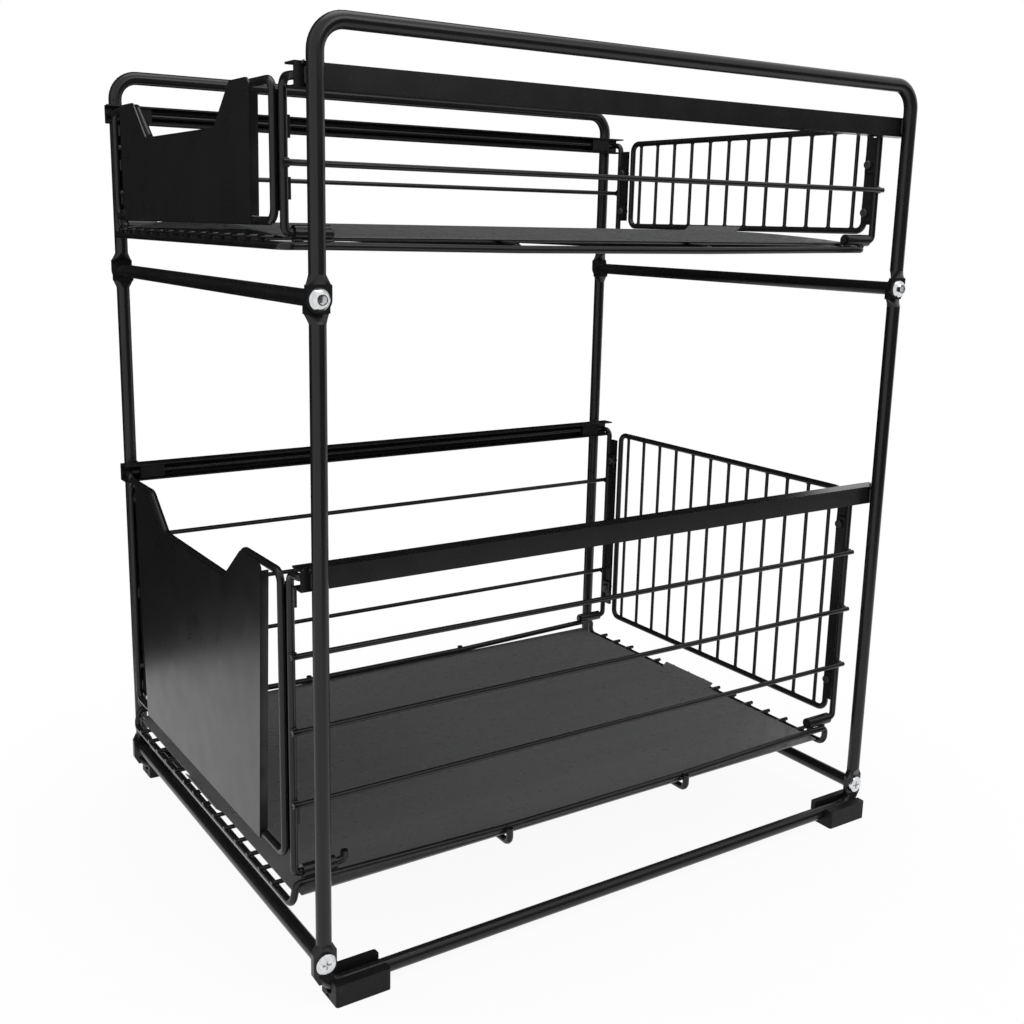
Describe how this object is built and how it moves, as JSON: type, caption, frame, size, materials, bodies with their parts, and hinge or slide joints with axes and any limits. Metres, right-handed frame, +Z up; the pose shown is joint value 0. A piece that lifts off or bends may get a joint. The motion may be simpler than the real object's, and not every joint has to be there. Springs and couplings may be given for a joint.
{
  "type": "pull out cabinet basket",
  "caption": "Freestanding tube frame with stacked wire baskets that pull out forward on channel rails, each with a grey tray liner and a notched front panel.",
  "frame": {"origin": "on the ground under the middle of the whole, baskets pushed in", "axes": "+Z up, -Y towards the user and the way the baskets pull out, +X to the right seen from the front"},
  "size_m": [0.317, 0.41, 0.4752],
  "materials": {
    "stand_black_coat": "satin black powder coat",
    "basket_black_coat": "satin black powder coat",
    "panel_black_coat": "smooth satin black powder coat",
    "black_screws": "black oxide screws",
    "liner_grey": "matt dark grey sheet",
    "foot_plastic": "moulded black plastic",
    "zinc": "bright zinc plated"
  },
  "bodies": {
    "stand": {"upper_side_frame_left": "stand_black_coat", "upper_side_frame_right": "stand_black_coat", "lower_side_frame_left": "stand_black_coat", "lower_side_frame_right": "stand_black_coat", "upper_rail_left": "stand_black_coat", "upper_rail_right": "stand_black_coat", "lower_rail_left": "stand_black_coat", "lower_rail_right": "stand_black_coat", "front_foot_left": "foot_plastic", "front_foot_right": "foot_plastic", "rear_foot_left": "foot_plastic", "rear_foot_right": "foot_plastic", "middle_cross_bar_front": "stand_black_coat", "middle_cross_bar_rear": "stand_black_coat", "bottom_cross_bar_front": "stand_black_coat", "bottom_cross_bar_rear": "stand_black_coat", "threaded_inserts": "zinc", "middle_bolts": "zinc", "bottom_screws": "zinc"},
    "lower_basket": {"lower_basket_side_frame_left": "basket_black_coat", "lower_basket_side_frame_right": "basket_black_coat", "lower_basket_side_wires": "basket_black_coat", "lower_basket_glides": "foot_plastic", "lower_basket_sleeves": "basket_black_coat", "lower_basket_tray_rim": "basket_black_coat", "lower_basket_tray_grid": "basket_black_coat", "lower_basket_liner": "liner_grey", "lower_basket_front_loop": "basket_black_coat", "lower_basket_front_panel": "panel_black_coat", "lower_basket_front_strips": "basket_black_coat", "lower_basket_back_frame": "basket_black_coat", "lower_basket_rear_strips": "basket_black_coat", "lower_basket_corner_screws": "black_screws"},
    "upper_basket": {"upper_basket_side_frame_left": "basket_black_coat", "upper_basket_side_frame_right": "basket_black_coat", "upper_basket_side_wires": "basket_black_coat", "upper_basket_glides": "foot_plastic", "upper_basket_sleeves": "basket_black_coat", "upper_basket_tray_rim": "basket_black_coat", "upper_basket_tray_grid": "basket_black_coat", "upper_basket_liner": "liner_grey", "upper_basket_front_loop": "basket_black_coat", "upper_basket_front_panel": "panel_black_coat", "upper_basket_front_strips": "basket_black_coat", "upper_basket_back_frame": "basket_black_coat", "upper_basket_rear_strips": "basket_black_coat", "upper_basket_corner_screws": "black_screws"}
  },
  "joints": [
    {"name": "upper_basket_slide", "type": "slide", "parent": "stand", "child": "upper_basket", "axis": [0, -1, 0], "range_m": [0, 0.3]},
    {"name": "lower_basket_slide", "type": "slide", "parent": "stand", "child": "lower_basket", "axis": [0, -1, 0], "range_m": [0, 0.3]}
  ]
}
